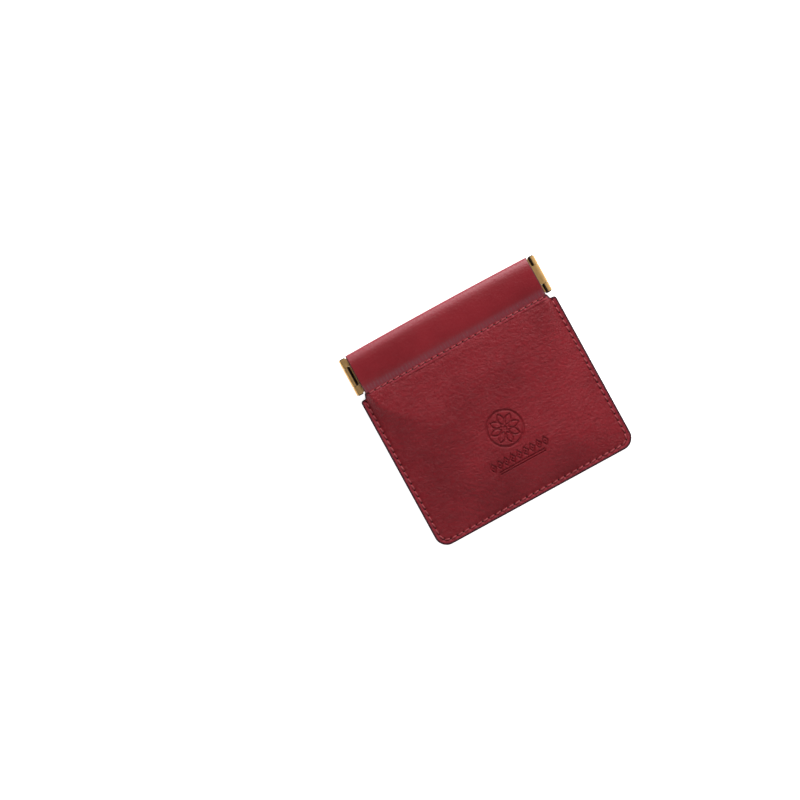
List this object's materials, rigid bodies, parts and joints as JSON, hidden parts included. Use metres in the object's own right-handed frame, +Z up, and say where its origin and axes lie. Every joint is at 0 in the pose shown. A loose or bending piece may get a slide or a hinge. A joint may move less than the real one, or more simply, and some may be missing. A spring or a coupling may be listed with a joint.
{
  "type": "coin purse",
  "caption": "Flat leather coin purse with a sprung squeeze mouth: strips in leather sleeves bow apart when the ends are pressed and snap shut",
  "frame": {"origin": "on the face the purse lies on, under the middle of its outline", "axes": "+X across the width (viewer's right), +Y towards the mouth, +Z up through the thickness, out of the front panel"},
  "size_m": [0.085, 0.083, 0.0074],
  "materials": {
    "body_leather": "fine grain, semi-gloss, blind-embossed",
    "sleeve_leather": "smooth, semi-gloss",
    "lining_cloth": "plain weave, matt",
    "thread": "waxed thread",
    "spring_strip": "antique brass plate over spring steel",
    "hinge_pin": "darkened steel"
  },
  "bodies": {
    "back_leaf": {"back_panel": "body_leather", "back_lining": "lining_cloth", "back_seam_thread": "thread", "bottom_needle_thread": "thread", "bottom_bobbin_thread": "thread"},
    "front_leaf": {"front_panel": "body_leather", "front_lining": "lining_cloth", "front_seam_thread": "thread"},
    "back_strip_left_end": {"back_spring_left_end": "spring_strip", "back_sleeve_left_end": "sleeve_leather", "left_hinge_pin": "hinge_pin"},
    "back_strip_left": {"back_spring_left": "spring_strip", "back_sleeve_left": "sleeve_leather"},
    "back_strip_centre": {"back_spring_centre": "spring_strip", "back_sleeve_centre": "sleeve_leather"},
    "back_strip_right": {"back_spring_right": "spring_strip", "back_sleeve_right": "sleeve_leather"},
    "back_strip_right_end": {"back_spring_right_end": "spring_strip", "back_sleeve_right_end": "sleeve_leather", "right_hinge_pin": "hinge_pin"},
    "front_strip_left_end": {"front_spring_left_end": "spring_strip", "front_sleeve_left_end": "sleeve_leather"},
    "front_strip_left": {"front_spring_left": "spring_strip", "front_sleeve_left": "sleeve_leather"},
    "front_strip_centre": {"front_spring_centre": "spring_strip", "front_sleeve_centre": "sleeve_leather"},
    "front_strip_right": {"front_spring_right": "spring_strip", "front_sleeve_right": "sleeve_leather"},
    "front_strip_right_end": {"front_spring_right_end": "spring_strip", "front_sleeve_right_end": "sleeve_leather"},
    "left_back_side": {"left_side_bobbin_thread": "thread"},
    "left_front_side": {"left_side_needle_thread": "thread"},
    "right_back_side": {"right_side_bobbin_thread": "thread"},
    "right_front_side": {"right_side_needle_thread": "thread"}
  },
  "joints": [
    {"name": "mouth_squeeze", "type": "hinge", "parent": "back_strip_right_end", "child": "front_strip_right_end", "pos_m": [0.041, 0.033, 0.003], "axis": [0, 1, 0], "range_deg": [0, 72], "stiffness_Nm_per_rad": 0.06, "springref_deg": -28.65},
    {"name": "back_fold", "type": "hinge", "parent": "back_leaf", "child": "back_strip_centre", "pos_m": [0, 0.0249, 0.00137], "axis": [1, 0, 0], "range_deg": [0, 14.39]},
    {"name": "back_flex_right_inner", "type": "hinge", "parent": "back_strip_centre", "child": "back_strip_right", "pos_m": [0.0082, 0.033, 0.00175], "axis": [0, -1, 0], "range_deg": [0, 18]},
    {"name": "back_flex_right_outer", "type": "hinge", "parent": "back_strip_right", "child": "back_strip_right_end", "pos_m": [0.0246, 0.033, 0.00175], "axis": [0, -1, 0], "range_deg": [0, 18]},
    {"name": "back_flex_left_inner", "type": "hinge", "parent": "back_strip_centre", "child": "back_strip_left", "pos_m": [-0.0082, 0.033, 0.00175], "axis": [0, 1, 0], "range_deg": [0, 18]},
    {"name": "back_flex_left_outer", "type": "hinge", "parent": "back_strip_left", "child": "back_strip_left_end", "pos_m": [-0.0246, 0.033, 0.00175], "axis": [0, 1, 0], "range_deg": [0, 18]},
    {"name": "front_flex_right_outer", "type": "hinge", "parent": "front_strip_right_end", "child": "front_strip_right", "pos_m": [0.0246, 0.033, 0.00425], "axis": [0, -1, 0], "range_deg": [0, 18]},
    {"name": "front_flex_right_inner", "type": "hinge", "parent": "front_strip_right", "child": "front_strip_centre", "pos_m": [0.0082, 0.033, 0.00425], "axis": [0, -1, 0], "range_deg": [0, 18]},
    {"name": "front_flex_left_inner", "type": "hinge", "parent": "front_strip_centre", "child": "front_strip_left", "pos_m": [-0.0082, 0.033, 0.00425], "axis": [0, -1, 0], "range_deg": [0, 18]},
    {"name": "front_flex_left_outer", "type": "hinge", "parent": "front_strip_left", "child": "front_strip_left_end", "pos_m": [-0.0246, 0.033, 0.00425], "axis": [0, -1, 0], "range_deg": [0, 18]},
    {"name": "bottom_fold", "type": "hinge", "parent": "back_leaf", "child": "front_leaf", "pos_m": [0, -0.0388, 0.0014], "axis": [1, 0, 0], "range_deg": [0, 26.33], "deforming": ["front_panel", "front_lining", "back_panel", "back_lining"]},
    {"name": "left_back_side_fold", "type": "hinge", "parent": "back_leaf", "child": "left_back_side", "pos_m": [-0.0407, -0.0388, 0.0014], "axis": [0.9485, 0, -0.3166], "range_deg": [0, 14.31]},
    {"name": "left_front_side_fold", "type": "hinge", "parent": "front_leaf", "child": "left_front_side", "pos_m": [-0.0407, -0.0388, 0.0014], "axis": [-0.9421, -0.0763, -0.3264], "range_deg": [0, 13.52]},
    {"name": "right_back_side_fold", "type": "hinge", "parent": "back_leaf", "child": "right_back_side", "pos_m": [0.0407, -0.0388, 0.0014], "axis": [0.9485, 0, 0.3166], "range_deg": [0, 14.31]},
    {"name": "right_front_side_fold", "type": "hinge", "parent": "front_leaf", "child": "right_front_side", "pos_m": [0.0407, -0.0388, 0.0014], "axis": [-0.9421, 0.0763, 0.3264], "range_deg": [0, 13.52]}
  ],
  "couplings": [
    {"joint": "back_fold", "follows": "mouth_squeeze", "ratio": 0.19991},
    {"joint": "back_flex_right_inner", "follows": "mouth_squeeze", "ratio": 0.25},
    {"joint": "back_flex_right_outer", "follows": "mouth_squeeze", "ratio": 0.25},
    {"joint": "back_flex_left_inner", "follows": "mouth_squeeze", "ratio": 0.25},
    {"joint": "back_flex_left_outer", "follows": "mouth_squeeze", "ratio": 0.25},
    {"joint": "front_flex_right_outer", "follows": "mouth_squeeze", "ratio": 0.25},
    {"joint": "front_flex_right_inner", "follows": "mouth_squeeze", "ratio": 0.25},
    {"joint": "front_flex_left_inner", "follows": "mouth_squeeze", "ratio": 0.25},
    {"joint": "front_flex_left_outer", "follows": "mouth_squeeze", "ratio": 0.25},
    {"joint": "bottom_fold", "follows": "mouth_squeeze", "ratio": 0.36563},
    {"joint": "left_back_side_fold", "follows": "mouth_squeeze", "ratio": 0.19881},
    {"joint": "left_front_side_fold", "follows": "mouth_squeeze", "ratio": 0.18772},
    {"joint": "right_back_side_fold", "follows": "mouth_squeeze", "ratio": 0.19881},
    {"joint": "right_front_side_fold", "follows": "mouth_squeeze", "ratio": 0.18772}
  ]
}
